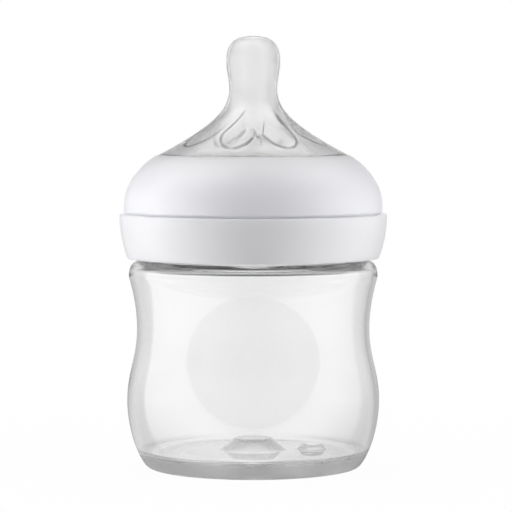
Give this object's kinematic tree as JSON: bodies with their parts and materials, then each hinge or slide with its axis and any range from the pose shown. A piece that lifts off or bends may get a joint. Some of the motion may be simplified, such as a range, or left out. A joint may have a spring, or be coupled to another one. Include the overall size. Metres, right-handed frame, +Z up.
{
  "type": "baby bottle",
  "caption": "Small wide-neck baby bottle with a clear waisted body, a domed white screw ring and a clear silicone teat with swirled petals and an air vent.",
  "frame": {"origin": "centre of the foot on the surface that the bottle stands on", "axes": "+Z up along the bottle's axis, the round front panel faces -Y, +X to the right seen from the front"},
  "size_m": [0.069, 0.069, 0.1113],
  "materials": {
    "clear_plastic": "clear polypropylene, glossy",
    "white_plastic": "white moulded polypropylene, satin gloss",
    "clear_silicone": "clear silicone rubber, slightly cloudy"
  },
  "bodies": {
    "bottle": {"bottle": "clear_plastic"},
    "teat": {"teat": "clear_silicone"},
    "screw_ring": {"screw_ring": "white_plastic"},
    "vent_flap": {"vent_flap": "clear_silicone"}
  },
  "joints": [
    {"name": "teat_lift", "type": "slide", "parent": "bottle", "child": "teat", "axis": [0, 0, 1], "range_m": [0, 0.0301]},
    {"name": "ring_turn", "type": "hinge", "parent": "teat", "child": "screw_ring", "pos_m": [0, 0, 0.0624], "axis": [0, 0, 1], "range_deg": [0, 1080]},
    {"name": "vent_swing", "type": "hinge", "parent": "teat", "child": "vent_flap", "pos_m": [0, 0.02304, 0.0767], "axis": [-1, 0, 0], "range_deg": [0, 25], "stiffness_Nm_per_rad": 0.000002, "springref_deg": -28.65}
  ],
  "couplings": [
    {"joint": "teat_lift", "follows": "ring_turn", "m_per_rad": 0.0015915}
  ]
}
